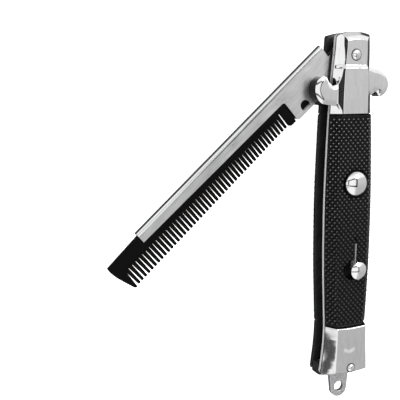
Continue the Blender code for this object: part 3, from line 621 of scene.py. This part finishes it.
scaleShape = {
    "rows": 560, "columns": 150, "top": -20.0, "end": -95.2, "bow": -0.5, "flatInset": 2.9,
    # the lattice: spacing across and along, one point's place, and the grooves' depth
    "spaceAcross": 1.89, "spaceAlong": 2.04, "pointX": -2.57, "pointY": -21.6, "depth": 0.8,
    "border": 0.9, "sideBorder": 0.12, "endDrop": 0.5, "endRun": 0.5,
    # how high the points stand over the slab, how much higher on its bevels, and the bevel's blend
    "standing": 0.9, "bevelGain": 0.3, "bevelBlend": 0.4, "rightProud": 0.35,
    "flatRounding": 0.3, "wellFade": 0.3,
    # tone, all painted light: the slopes' share and rise (painted shade), the points' share and reach (painted
    # highlight), and the highlight's fading down the handle
    "slopeTone": 0.6, "toneRise": 1.4, "tipFrom": 0.8, "tipReach": 0.15, "tipTone": 0.6,
    "tipFadeFrom": -24.0, "tipFadeTo": -80.0, "tipFloor": 0.22,
    "button": (0.9, -43.9), "well": 4.9, "wellZ": 5.85,
    "safety": (0.6, -74.7), "safetyWell": 3.6, "safetyWellZ": 4.6,
    "slotX": 1.9, "slotHalf": 0.32, "slotLow": -76.3, "slotHigh": -63.2, "slotZ": 3.9,
}


def sinkWell(x, y, z, centre, radius, floorZ):
    # points near the well's circle are drawn onto it, and those inside sink to its floor
    bx, by = centre
    drawn, wallGap, leastRadius = 0.13, 0.02, 0.01
    r = np.hypot(x - bx, y - by)
    pull = np.where(np.abs(r - radius) < drawn, radius / np.maximum(r, leastRadius), 1.0)
    x, y = bx + (x - bx) * pull, by + (y - by) * pull
    return x, y, np.where(r < radius - wallGap, np.minimum(z, floorZ), z)


def scalePiece(side, name, node):
    # bevelled slab whose skin is two crossing families of V grooves: height is the lower of both waves,
    # and it is added along the slab's own normal, so that the sides are toothed too
    s = scaleShape
    across = np.linspace(-1, 1, s["columns"])[None, :]
    along = np.linspace(0, 1, s["rows"])[:, None]
    yEnd = s["end"] + s["bow"] * (1 - across**2)
    y = s["top"] * (1 - along) + yEnd * along
    half = halfWidth(y)
    off = across * half
    x = lean(y) + off + s["rightProud"] * np.clip(across, 0, 1) ** 3
    flatHalf = half - s["flatInset"]
    slope = (flatHeight - sideTop) / s["flatInset"]
    tilt = math.atan(slope)
    bevelZ = flatHeight - slope * (np.abs(off) - flatHalf)
    z = smoothMin(np.full_like(x, flatHeight), bevelZ, s["flatRounding"])
    # arc length across, so that the lattice wraps over the bevel without stretching
    over = np.clip(np.abs(off) - flatHalf, 0, None)
    arcAcross = np.sign(off) * (np.minimum(np.abs(off), flatHalf) + over * math.hypot(1, slope))
    u, v = (arcAcross - s["pointX"]) / s["spaceAcross"], (y - s["pointY"]) / s["spaceAlong"]
    waveP = 1 - 2 * np.abs((u + v) - np.round(u + v))
    waveQ = 1 - 2 * np.abs((u - v) - np.round(u - v))
    wave = np.minimum(waveP, waveQ)
    toEdge = np.minimum(np.minimum(s["top"] - y, y - yEnd) / s["border"],
                        (half - np.abs(off)) / s["sideBorder"])
    fade = np.clip(toEdge - 0.5, 0, 1)
    if side > 0:
        # the button's well: no lattice, and its tone falls to black, painted shade round the button
        bx, by = s["button"]
        fade = fade * np.clip((np.hypot(x - bx, y - by) - s["well"]) / s["wellFade"], 0, 1)
    onBevel = np.clip((np.abs(off) - flatHalf) / s["bevelBlend"] + 0.5, 0, 1)
    lift = s["depth"] * (wave - s["standing"] + s["bevelGain"] * onBevel) * fade
    x = x + np.sign(off) * onBevel * math.sin(tilt) * lift
    z = z + lift * (1 - onBevel * (1 - math.cos(tilt)))
    z = z - s["endDrop"] * np.clip(1 - np.minimum(s["top"] - y, y - yEnd) / s["endRun"], 0, 1)
    z = np.maximum(z, coverLeast)
    # tone, all painted light: painted shade makes the grooves black and the sides dark, and a painted
    # highlight makes the points grey, most of all near the pivot end
    paintedGlintFade = np.clip((y - s["tipFadeTo"]) / (s["tipFadeFrom"] - s["tipFadeTo"]), s["tipFloor"], 1)
    tip = np.clip((wave - s["tipFrom"]) / s["tipReach"], 0, 1)
    tones = (s["slopeTone"] * np.clip(wave * s["toneRise"], 0, 1) + s["tipTone"] * tip * paintedGlintFade) * fade
    if side > 0:
        x, y, z = sinkWell(x, y, z, s["button"], s["well"], s["wellZ"])
        x, y, z = sinkWell(x, y, z, s["safety"], s["safetyWell"], s["safetyWellZ"])
        # the safety's slot, a narrow trough with square ends
        inside = (np.abs(x - s["slotX"]) < s["slotHalf"]) & (y > s["slotLow"]) & (y < s["slotHigh"])
        z = np.where(inside, s["slotZ"], z)
        sunk = inside | (np.hypot(x - s["safety"][0], y - s["safety"][1]) < s["safetyWell"])
        # the slot and the safety's well take the darkest tone: painted shade
        tones = np.where(sunk, 0.0, tones)
    coverPiece(name, x, y, z, side, scalePlastic, node, 20, tones)


scalePiece(1, "frontCheckeredScale", "front_scale")
scalePiece(-1, "backCheckeredScale", "back_scale")
print("comb: scales made")


# Rivets, button and safety

def domeProfile(radius, rimZ, topZ, steps=20):
    # quarter ellipse from the crown out to the rim
    a = np.radians(np.linspace(90, 0, steps + 1))
    return [(radius * math.cos(t), rimZ + (topZ - rimZ) * math.sin(t)) for t in a]


def capProfile(radius, rimAngle, topZ, steps=28):
    # part of a sphere from the crown out to where it leans by the rim angle
    ball = radius / math.sin(math.radians(rimAngle))
    a = np.radians(np.linspace(0, rimAngle, steps + 1))
    return [(ball * math.sin(t), topZ - ball * (1 - math.cos(t))) for t in a]


rivetShape = {
    "ring": 0.3, "ringThick": 0.06, "ringIn": 0.1, "ringBevel": 0.08,
    "rise": 0.5, "headRim": 0.12, "crown": 0.3, "lift": 0.02,
    # name, node, head radius, shank, foot, place and the height of the cover that the head sits on
    "rivets": [("pivotRivet", "pivot_pin", 1.75, 1.5, -6.8, (0.0, 0.0), upperFlat),
               ("tailRivet", "tail_pin", 1.5, 0.9, -7.2, tailPinPlace, flatHeight)],
}


def rivet(name, node, radius, shank, foot, place, cover):
    s = rivetShape
    seat = cover + s["lift"]
    profile = domeProfile(radius, seat + s["headRim"], seat + s["crown"] + s["rise"])
    profile += [(radius, seat), (shank, seat), (shank, foot), (0, foot)]
    turnedPiece(name, profile, *place, [polishedSteel], "handle", "hardware_chrome", [node])


def rivetRing(name, radius, place, z):
    # a near-black ring that shows as a thin dark line round a rivet's head: painted shade where the head meets
    # the bolster
    s = rivetShape
    inner, wide, top = radius - s["ringIn"], radius + s["ring"], z + s["ringThick"]
    profile = [(inner, z), (inner, top), (wide - s["ringBevel"], top), (wide, z), (inner, z)]
    turnedPiece(name, profile, *place, [paintedShadeMetal], "handle", "bolster_chrome", (), 72)


for row in rivetShape["rivets"]:
    rivet(*row)
for name, node, radius, shank, foot, place, cover in rivetShape["rivets"]:
    rivetRing(name + "Ring", radius, place, cover - rivetShape["lift"])

buttonShape = {"radius": 4.45, "rim": 7.3, "top": 9.3, "stem": 2.1, "end": 3.1, "lip": 0.1, "lipDrop": 0.4,
               "under": 0.4, "underDrop": 0.6}
s = buttonShape
under = s["rim"] - s["underDrop"]
profile = domeProfile(s["radius"], s["rim"], s["top"], 32)
profile += [(s["radius"] - s["lip"], s["rim"] - s["lipDrop"]), (s["radius"] - s["under"], under),
            (s["stem"], under), (s["stem"], s["end"]), (0, s["end"])]
turnedPiece("pushButtonDome", profile, *buttonPlace, [polishedSteel], "button", "hardware_chrome",
            ["push_button"], 128)

safetyShape = {"x": 1.8, "y": -74.6, "radius": 3.1, "rimAngle": 31, "rim": 9.2, "top": 10.3,
               "lip": 0.05, "lipDrop": 0.1, "neck": 1.5, "neckDrop": 0.35, "seat": 7.7,
               "keyHalf": 0.2, "keyLong": 1.1, "keyLow": 7.15, "keyIn": 0.3, "keyEdge": 0.06}
s = safetyShape
profile = capProfile(s["radius"], s["rimAngle"], s["top"], 24)
profile += [(s["radius"] - s["lip"], s["rim"] - s["lipDrop"]), (s["neck"], s["rim"] - s["neckDrop"]),
            (s["neck"], s["seat"]), (0, s["seat"])]
turnedPiece("safetyKnob", profile, s["x"], s["y"], [polishedSteel], "safety", "hardware_chrome",
            ["safety_slide"], 112)
square = np.array([[-1, -1], [1, -1], [1, 1], [-1, 1]])
key = square * (s["keyHalf"], s["keyLong"]) + (scaleShape["slotX"], s["y"])
platePiece("safetyKey", [key], s["keyLow"], s["seat"] + s["keyIn"], [polishedSteel], "safety",
           ["safety_slide"], s["keyEdge"], 1)

railShape = {"x": 1.95, "half": 0.12, "low": 4.0, "high": 7.05, "from": -76.0, "to": -65.4, "edge": 0.04}
s = railShape
rail = np.array([[s["x"] - s["half"], s["from"]], [s["x"] + s["half"], s["from"]],
                 [s["x"] + s["half"], s["to"]], [s["x"] - s["half"], s["to"]]])
platePiece("slotRail", [rail], s["low"], s["high"], [linerEdge], "handle", (), s["edge"], 1)
print("comb: rivets, button and safety made")


# Comb channel and moulded teeth, in the closed position, then swung out

channelShape = {
    "sheet": 0.4, "half": 1.3, "lip": -4.2, "tipY": -94.8, "rootY": -6.0, "backX": -9.6, "taper": 1.4,
    "shoulderX": -4.6, "wideY": -28.5, "innerCorner": 1.0, "tangLip": 4.1, "corner": 1.0, "eye": 5.0,
    "pivotHole": 1.8, "foldRun": 0.35, "foldOverlap": 0.3, "stations": 12,
    "stop": {"flat": 3.0, "apex": 0.2, "low": -25.0, "high": -21.3},
}


def channelBack(y):
    c = channelShape
    return c["backX"] + c["taper"] * (c["rootY"] - y) / (c["rootY"] - c["tipY"])


def sheetOutlines():
    # one side of the folded sheet with the tang, its stop hole and its eye
    c = channelShape
    edgeIn = c["half"] + c["foldOverlap"]
    points = [[c["lip"], c["tipY"]]]
    points += arc(c["lip"] + c["innerCorner"], c["wideY"] - c["innerCorner"], c["innerCorner"], 180, 90,
                  8).tolist()
    points += arc(c["tangLip"] - c["corner"], c["wideY"] + c["corner"], c["corner"], -90, 0, 8).tolist()
    points += [[c["tangLip"], -8.0]]
    points += arc(0, 0, c["eye"], -25, 205, 60).tolist()
    points += [[c["shoulderX"], c["rootY"]], [channelBack(c["rootY"]) + edgeIn, c["rootY"]],
               [channelBack(c["tipY"]) + edgeIn, c["tipY"]]]
    s = c["stop"]
    half = (s["high"] - s["low"]) / 2
    dHole = arc(s["apex"] + half, (s["low"] + s["high"]) / 2, half, 90, 270, 24).tolist()
    dHole += [[s["flat"], s["low"]], [s["flat"], s["high"]]]
    pin = arc(0, 0, c["pivotHole"], 0, 350, 36)[::-1]
    return [np.array(points), np.array(dHole), pin]


def foldPoints():
    # half tube round the back edge: outer and inner half circles with short flat runs, carried along y
    c = channelShape
    run = c["foldRun"]
    a = np.radians(np.linspace(90, 270, 25))
    outer = np.stack([c["half"] * np.cos(a), c["half"] * np.sin(a)], 1) + (c["half"], 0)
    wall = c["half"] - c["sheet"]
    inner = np.stack([wall * np.cos(a[::-1]), wall * np.sin(a[::-1])], 1) + (c["half"], 0)
    ring = np.concatenate([[[c["half"] + run, c["half"]]], outer, [[c["half"] + run, -c["half"]]],
                           [[c["half"] + run, -wall]], inner, [[c["half"] + run, wall]]])
    ys = np.linspace(c["tipY"], c["rootY"], c["stations"])
    x = channelBack(ys)[:, None] + ring[None, :, 0]
    y, z = np.broadcast_arrays(ys[:, None], ring[None, :, 1])
    return np.stack([x, y, z], -1), len(ring)


c = channelShape
for low, high, label in ((c["half"] - c["sheet"], c["half"], "channelFrontSheet"),
                         (-c["half"], c["sheet"] - c["half"], "channelBackSheet")):
    platePiece(label, sheetOutlines(), low, high, [brushedSheet], "comb", ["comb_channel"],
               0.0, 0, True)
points, ring = foldPoints()
last = (c["stations"] - 1) * ring
faces = gridQuads(c["stations"], ring, wrap=True) + [list(range(ring)), list(range(last, last + ring))]
makePiece("channelFold", toRowFromClosed(points.reshape(-1, 3)), faces, [burnishedFold], "comb",
          ["comb_channel"], 30)

combShape = {
    "half": 0.7, "edge": 0.18, "stepX": -7.0, "count": 47, "firstY": -104.7, "lastY": -33.1,
    "rootX": (-1.3, -2.2), "tipX": (5.25, 3.4), "rootHalf": 0.76, "tipHalf": 0.52, "rootThick": 0.62,
    "tipThick": 0.40, "rings": 10, "sides": 8, "bluntFrom": 0.94,
    "nose": [(-6.2, -108.9), (-4.5, -109.1), (-2.0, -108.8), (1.5, -107.9), (4.7, -107.0), (5.3, -106.5),
             (5.1, -105.9)],
    "guard": {"low": -31.9, "high": -28.9, "tip": 4.0, "root": -2.2, "corner": 0.6},
    # the bar's gap inside the sheet, its reach past the last teeth, and how deep the teeth root in it
    "gap": 0.3, "tipGap": 0.6, "pastFirst": 0.61, "pastLast": 0.65, "rootIn": 0.4, "eyeGap": 0.6,
    "tangGap": 1.2, "squareness": 0.75,
}


def spineOutline():
    s, c, g = combShape, channelShape, combShape["guard"]
    inner, root = c["sheet"] + s["gap"], c["rootY"] - s["gap"]
    points = [[channelBack(c["rootY"]) + inner, root],
              [channelBack(c["tipY"]) + inner, c["tipY"] + s["tipGap"]], [s["stepX"], c["tipY"]]]
    points += [list(p) for p in s["nose"]]
    points += [[s["rootX"][0], s["firstY"] - s["pastFirst"]], [s["rootX"][1], g["low"] - s["pastLast"]],
               [g["root"], g["low"]], [g["tip"] - g["corner"], g["low"]], [g["tip"], g["low"] + g["corner"]],
               [g["tip"], g["high"]], [c["tangLip"] - s["tangGap"], g["high"]],
               [c["tangLip"] - s["tangGap"], -8.0]]
    points += arc(0, 0, c["eye"] - s["eyeGap"], -25, 205, 40).tolist()
    points += [[c["shoulderX"] - s["gap"], root]]
    return np.array(points)


def teethPoints():
    # each tooth is a tapered bar with a rounded tip: an eight-sided section carried from root to tip
    s = combShape
    f = np.linspace(0, 1, s["count"])[:, None, None]
    blunt = s["bluntFrom"]
    t = np.concatenate([[0, blunt / 2], np.linspace(blunt, 1, s["rings"] - 2)])[None, :, None]
    a = (np.arange(s["sides"]) + 0.5)[None, None, :] * 2 * np.pi / s["sides"]
    y0 = s["firstY"] + (s["lastY"] - s["firstY"]) * f
    rootX = s["rootX"][0] + (s["rootX"][1] - s["rootX"][0]) * f - s["rootIn"]
    tipX = s["tipX"][0] + (s["tipX"][1] - s["tipX"][0]) * f
    closing = np.sqrt(np.clip(1 - np.clip((t - blunt) / (1 - blunt), 0, 1) ** 2, 0.05, 1))
    wide = (s["rootHalf"] + (s["tipHalf"] - s["rootHalf"]) * t) * closing
    thick = (s["rootThick"] + (s["tipThick"] - s["rootThick"]) * t) * closing
    section = 1 / np.maximum(np.abs(np.cos(a)), np.abs(np.sin(a))) ** s["squareness"]
    x = rootX + (tipX - rootX) * t + 0 * a
    y = y0 + wide * np.cos(a) * section
    z = thick * np.sin(a) * section + 0 * f
    return np.stack(np.broadcast_arrays(x, y, z), -1)


s = combShape
platePiece("combSpine", [spineOutline()], -s["half"], s["half"], [combPlastic], "comb",
           ["comb_teeth"], s["edge"], 2, True)
teeth = teethPoints()
perTooth = s["rings"] * s["sides"]
one = gridQuads(s["rings"], s["sides"], wrap=True)
one += [list(range(s["sides"])), list(range(perTooth - s["sides"], perTooth))]
faces = [[v + n * perTooth for v in face] for n in range(s["count"]) for face in one]
makePiece("combTeethRow", toRowFromClosed(teeth.reshape(-1, 3)), faces, [combPlastic], "comb",
          ["comb_teeth"], 50)
print("comb: channel and teeth made")


# Floor, studio light and camera

aboveHorizon = ((0, 0, 1), 0.0, 2.0)   # a direction, and the least and most along it
studio = {
    "floorHalf": 3.0, "floorGlow": 1.0, "floorMirror": "#4C4C4E",
    "white": 1.05, "greyHigh": 0.66, "greyLow": 0.52, "greyLowY": -0.36, "greyHighY": 0.05,
    "endSoft": 0.06,
    "lampFrom": (0.4, 0.45, 0.8), "lampAngle": 22.0, "lampStrength": 0.9,
    # dark seams of the tent: the direction across, its place and half width along it, its softness,
    # how dark it is, and limits along other directions
    "seams": [
        ((0.777, 0, 0.629), 0.0, 0.10, 0.05, 0.03, [((0, 1, 0), -0.12, 0.20), aboveHorizon]),
        ((0.923, 0, -0.384), 0.0, 0.04, 0.03, 0.04, [((0, 1, 0), -0.26, 0.30), aboveHorizon]),
        ((0, 1, 0), -0.26, 0.035, 0.03, 0.08, [((1, 0, 0), -2.0, 0.38), aboveHorizon]),
        ((0, 1, 0), 0.30, 0.04, 0.03, 0.06, [((1, 0, 0), -2.0, 0.42), aboveHorizon]),
        ((0, 1, 0), -0.46, 0.03, 0.08, 0.5, [((1, 0, 0), -2.0, -0.42), ((0, 0, 1), 0.0, 0.7)]),
        ((0, 0, 1), 0.0, 0.16, 0.08, 0.08, [((0, 1, 0), 0.45, 2.0), ((1, 0, 0), -2.0, -0.05)]),
        ((0, 1, 0), 0.92, 0.14, 0.05, 0.72, []),
        ((0, 0, 1), 0.0, 0.10, 0.05, 0.15, [((0, 1, 0), -2.0, -0.60)]),
    ],
}


def floorMaterial():
    # seamless paper: glows evenly so that it stays pale, and looks dark in the polished metal
    material, tree, shader = newMaterial("paperSweepWhite")
    place = addNode(tree, "ShaderNodeTexCoord")
    fibre = addNode(tree, "ShaderNodeTexNoise", {}, {"Scale": 900.0, "Detail": 2.0},
                    {"Vector": place.outputs["Object"]})
    tone = addNode(tree, "ShaderNodeValToRGB", {}, {}, {"Fac": fibre.outputs["Fac"]})
    rampStops(tone, [(0.3, fromHex("#F6F6F6")), (0.7, fromHex("#FFFFFF"))])
    tree.links.new(tone.outputs["Color"], shader.inputs["Base Color"])
    shader.inputs["Roughness"].default_value = 0.9
    shader.inputs["Specular IOR Level"].default_value = 0.1
    shader.inputs["Emission Color"].default_value = (1, 1, 1, 1)
    shader.inputs["Emission Strength"].default_value = studio["floorGlow"]
    dim = addNode(tree, "ShaderNodeEmission", {}, {"Color": fromHex(studio["floorMirror"]), "Strength": 1.0})
    ray = addNode(tree, "ShaderNodeLightPath")
    choose = addNode(tree, "ShaderNodeMixShader", {}, {}, {
        0: ray.outputs["Is Glossy Ray"], 1: shader.outputs["BSDF"], 2: dim.outputs["Emission"]})
    output = tree.nodes["Material Output"]
    tree.links.new(choose.outputs["Shader"], output.inputs["Surface"])
    return material


half = studio["floorHalf"]
floorMesh = bpy.data.meshes.new("paperSweep")
corners = [(-half, -half, 0), (half, -half, 0), (half, half, 0), (-half, half, 0)]
floorMesh.from_pydata(corners, [], [(0, 1, 2, 3)])
floorMesh.materials.append(floorMaterial())
floor = bpy.data.objects.new("paperSweep", floorMesh)
bpy.context.scene.collection.objects.link(floor)


def within(tree, value, low, high, soft):
    # a mask of a value lying between two limits, with soft ends: the product of a rise and a fall
    smooth = {"interpolation_type": "SMOOTHSTEP"}
    rise = addNode(tree, "ShaderNodeMapRange", smooth, {
        "From Min": low - soft, "From Max": low}, {"Value": value})
    fall = addNode(tree, "ShaderNodeMapRange", smooth, {
        "From Min": high, "From Max": high + soft, "To Min": 1.0, "To Max": 0.0}, {"Value": value})
    return addNode(tree, "ShaderNodeMath", {"operation": "MULTIPLY"}, {}, {
        0: rise.outputs["Result"], 1: fall.outputs["Result"]}).outputs["Value"]


def studioWorld():
    # a white tent seen in the metal: grey towards the closed side, with narrow dark seams
    world = bpy.data.worlds.new("whiteTent")
    bpy.context.scene.world = world
    world.use_nodes = True
    tree = world.node_tree
    background = tree.nodes["Background"]
    place = addNode(tree, "ShaderNodeTexCoord")
    split = addNode(tree, "ShaderNodeSeparateXYZ", {}, {}, {0: place.outputs["Generated"]})
    sideways = addNode(tree, "ShaderNodeMapRange", {"interpolation_type": "SMOOTHSTEP"}, {
        "From Min": 0.15, "From Max": 0.42}, {"Value": split.outputs["X"]})
    downhill = addNode(tree, "ShaderNodeMapRange", {"interpolation_type": "SMOOTHSTEP"}, {
        "From Min": 0.34, "From Max": 0.2}, {"Value": split.outputs["Y"]})
    shade = addNode(tree, "ShaderNodeMath", {"operation": "MULTIPLY"}, {}, {
        0: sideways.outputs["Result"], 1: downhill.outputs["Result"]})
    grey = addNode(tree, "ShaderNodeMapRange", {}, {
        "From Min": studio["greyLowY"], "From Max": studio["greyHighY"], "To Min": studio["greyLow"],
        "To Max": studio["greyHigh"]}, {"Value": split.outputs["Y"]})
    level = addNode(tree, "ShaderNodeMapRange", {}, {"To Min": studio["white"]}, {
        "Value": shade.outputs["Value"], "To Max": grey.outputs["Result"]})
    total = level.outputs["Result"]
    for direction, at, half, soft, dark, limits in studio["seams"]:
        across = addNode(tree, "ShaderNodeVectorMath", {"operation": "DOT_PRODUCT"}, {1: direction}, {
            0: place.outputs["Generated"]})
        mask = within(tree, across.outputs["Value"], at - half, at + half, soft)
        for axis, low, high in limits:
            reach = addNode(tree, "ShaderNodeVectorMath", {"operation": "DOT_PRODUCT"}, {1: axis}, {
                0: place.outputs["Generated"]})
            held = within(tree, reach.outputs["Value"], low, high, studio["endSoft"])
            mask = addNode(tree, "ShaderNodeMath", {"operation": "MULTIPLY"}, {}, {
                0: mask, 1: held}).outputs["Value"]
        keep = addNode(tree, "ShaderNodeMapRange", {}, {"To Min": 1.0, "To Max": dark}, {"Value": mask})
        total = addNode(tree, "ShaderNodeMath", {"operation": "MULTIPLY"}, {}, {
            0: total, 1: keep.outputs["Result"]}).outputs["Value"]
    tree.links.new(total, background.inputs["Strength"])
    background.inputs["Color"].default_value = (1, 1, 1, 1)


studioWorld()

lamp = bpy.data.objects.new("softLamp", bpy.data.lights.new("softLamp", "SUN"))
bpy.context.scene.collection.objects.link(lamp)
lamp.rotation_euler = Vector(studio["lampFrom"]).to_track_quat("Z", "Y").to_euler()
lamp.data.angle = math.radians(studio["lampAngle"])
lamp.data.energy = studio["lampStrength"]

cameraShape = {"place": (-0.13429, 0.0006, 0.2140), "right": (0.9321, -0.0080, 0.3622),
               "up": (0.0648, 0.9873, -0.1451), "back": (-0.3565, 0.1587, 0.9207), "lens": 61.47}
camera = bpy.data.objects.new("photoCamera", bpy.data.cameras.new("photoCamera"))
bpy.context.scene.collection.objects.link(camera)
turn = Matrix((cameraShape["right"], cameraShape["up"], cameraShape["back"])).transposed()
camera.matrix_world = Matrix.Translation(cameraShape["place"]) @ turn.to_4x4()
camera.data.lens = cameraShape["lens"]
camera.data.sensor_width = 36.0
camera.data.clip_start = 0.01
bpy.context.scene.camera = camera
bpy.context.scene.view_settings.view_transform = "Standard"
print("comb: studio and camera set")
